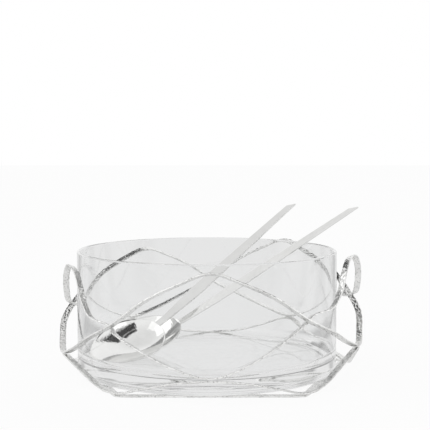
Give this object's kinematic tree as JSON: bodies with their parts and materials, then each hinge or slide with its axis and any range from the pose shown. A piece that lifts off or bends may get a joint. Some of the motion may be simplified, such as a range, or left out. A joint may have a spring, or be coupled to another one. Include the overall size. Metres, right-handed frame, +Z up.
{
  "type": "salad bowl",
  "caption": "Clear straight-sided glass salad bowl carried in an interlaced frame of hammered silver straps with bent-out loop handles, with a serving spoon and fork laid in it.",
  "frame": {"origin": "on the table, on the vertical axis of the strap frame", "axes": "+X is the viewer's right, +Y is the back, +Z is up"},
  "size_m": [0.2998, 0.291, 0.1546],
  "materials": {
    "glass": "clear, polished",
    "silver": "bright silver, hammered",
    "server_silver": "bright silver, heads polished and handles hammered"
  },
  "bodies": {
    "root": {"glass_bowl": "glass", "star_band": "silver", "foot_band": "silver", "base_band": "silver", "serving_spoon": "server_silver", "serving_fork": "server_silver"}
  },
  "joints": []
}
